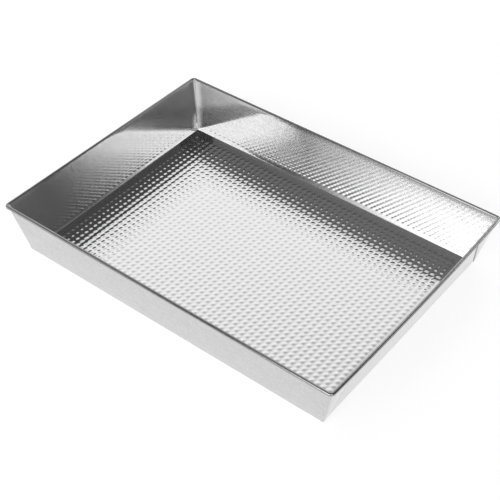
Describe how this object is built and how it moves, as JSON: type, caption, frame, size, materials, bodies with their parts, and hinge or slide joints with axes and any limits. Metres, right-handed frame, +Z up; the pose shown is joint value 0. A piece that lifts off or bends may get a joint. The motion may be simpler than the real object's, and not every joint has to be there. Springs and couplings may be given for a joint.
{
  "type": "rectangular baking tin",
  "caption": "Rectangular baking tin with sloping walls, a floor embossed with small bumps, folded corners and a rim rolled round a steel wire.",
  "frame": {"origin": "centre of the flat base, on the surface that the tin stands on", "axes": "+X along the length of the tin, +Y across its width, +Z up through the open top"},
  "size_m": [0.38, 0.279, 0.0574],
  "materials": {
    "tinplate": "bright tinplate, mirror-like inside and finely frosted outside",
    "rim_wire_steel": "drawn mild steel wire"
  },
  "bodies": {
    "root": {"pan_sheet": "tinplate", "rim_wire": "rim_wire_steel"}
  },
  "joints": []
}
